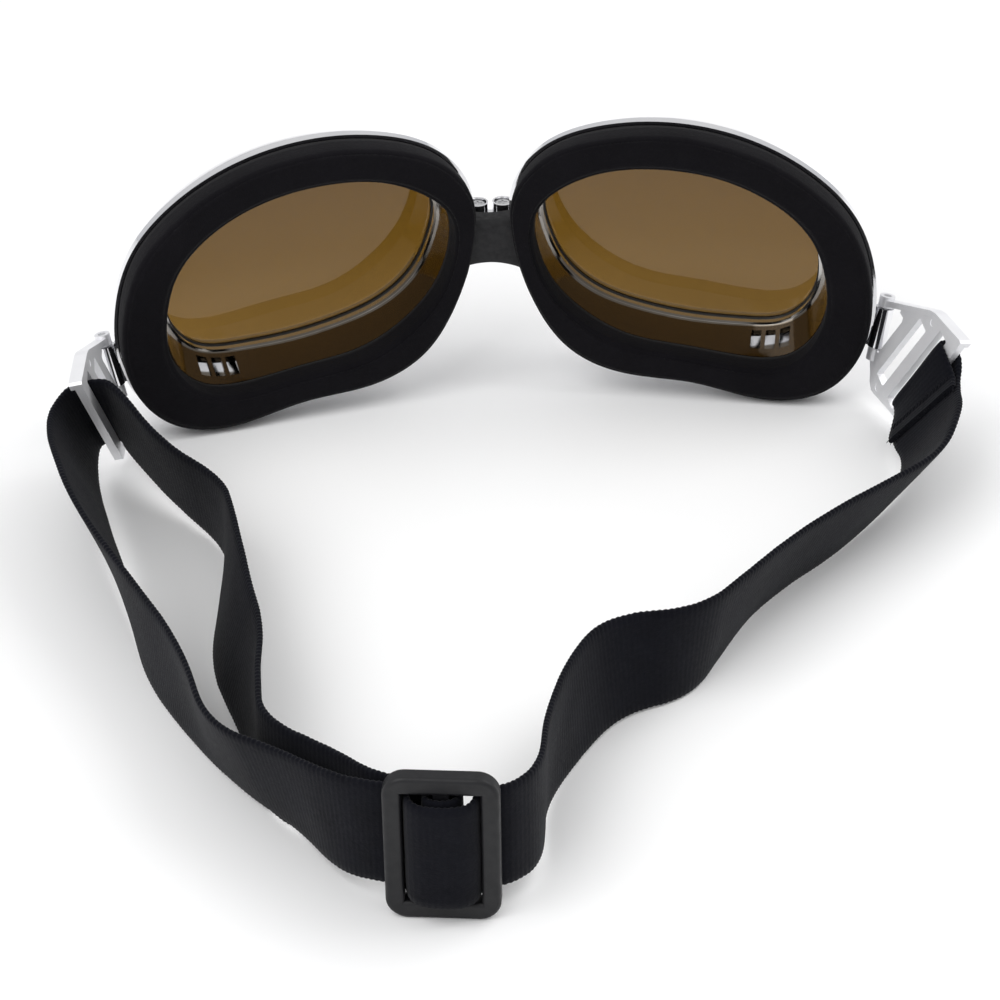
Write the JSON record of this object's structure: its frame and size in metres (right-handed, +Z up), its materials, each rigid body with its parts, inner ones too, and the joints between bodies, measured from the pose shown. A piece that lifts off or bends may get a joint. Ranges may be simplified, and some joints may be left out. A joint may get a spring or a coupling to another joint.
{
  "type": "motorcycle goggles",
  "caption": "Riding goggles with chrome-plated cups on a nose hinge, amber lenses, foam face pads, swinging ladder brackets and an elastic strap with a slider.",
  "frame": {"origin": "middle of the nose bridge, where the rear planes of the two face pads meet", "axes": "+Z up, +X to the wearer's right across the frame, +Y the way the lenses face"},
  "size_m": [0.2188, 0.2282, 0.0734],
  "materials": {
    "chrome_plating": "bright plating over moulded plastic",
    "satin_plating": "satin plating over moulded plastic",
    "lens_tint": "flat amber-brown tint",
    "gasket_rubber": "smooth black",
    "foam_cover": "matte charcoal cloth over foam",
    "screw_steel": "turned",
    "pin_steel": "ground",
    "bridge_rubber": "soft black",
    "webbing": "ribbed black elastic webbing",
    "slider_plastic": "black moulded, semi-matte"
  },
  "bodies": {
    "bridge": {"nose_link": "chrome_plating", "nose_bridge_pad": "bridge_rubber", "strap_right_run": "webbing", "strap_outer_leg": "webbing", "strap_inner_leg": "webbing", "strap_slider_wrap": "webbing"},
    "right_cup": {"shell_right": "chrome_plating", "liner_right": "chrome_plating", "lens_gasket_right": "gasket_rubber", "lens_right": "lens_tint", "foam_pad_right": "foam_cover", "nose_screw_right": "screw_steel"},
    "left_cup": {"shell_left": "chrome_plating", "liner_left": "chrome_plating", "lens_gasket_left": "gasket_rubber", "lens_left": "lens_tint", "foam_pad_left": "foam_cover", "nose_screw_left": "screw_steel"},
    "right_bracket": {"strap_bracket_right": "satin_plating", "bracket_pin_right": "pin_steel", "strap_loop_right": "webbing"},
    "left_bracket": {"strap_bracket_left": "satin_plating", "bracket_pin_left": "pin_steel", "strap_loop_left": "webbing"},
    "slider": {"strap_slider": "slider_plastic", "strap_slider_loop": "webbing"}
  },
  "joints": [
    {"name": "nose_fold_right", "type": "hinge", "parent": "bridge", "child": "right_cup", "pos_m": [0.0031, 0.01, 0], "axis": [0, 0, -1], "range_deg": [-6, 8], "deforming": ["nose_bridge_pad", "strap_right_run"]},
    {"name": "nose_fold_left", "type": "hinge", "parent": "bridge", "child": "left_cup", "pos_m": [-0.0031, 0.01, 0], "axis": [0, 0, 1], "range_deg": [-6, 8], "deforming": ["nose_bridge_pad", "strap_outer_leg", "strap_inner_leg"]},
    {"name": "bracket_swing_right", "type": "hinge", "parent": "right_cup", "child": "right_bracket", "pos_m": [0.09519, -0.01195, -0.0271], "axis": [-0.1881, -0.1354, -0.9728], "range_deg": [-48, 26], "deforming": ["strap_right_run"]},
    {"name": "bracket_swing_left", "type": "hinge", "parent": "left_cup", "child": "left_bracket", "pos_m": [-0.09519, -0.01195, -0.0271], "axis": [-0.1881, 0.1354, 0.9728], "range_deg": [-63, 11], "deforming": ["strap_outer_leg", "strap_inner_leg"]},
    {"name": "slider_slide", "type": "slide", "parent": "bridge", "child": "slider", "axis": [0.9903, -0.1392, 0], "range_m": [-0.008, 0.008], "deforming": ["strap_slider_wrap", "strap_inner_leg", "strap_outer_leg", "strap_right_run"]}
  ]
}
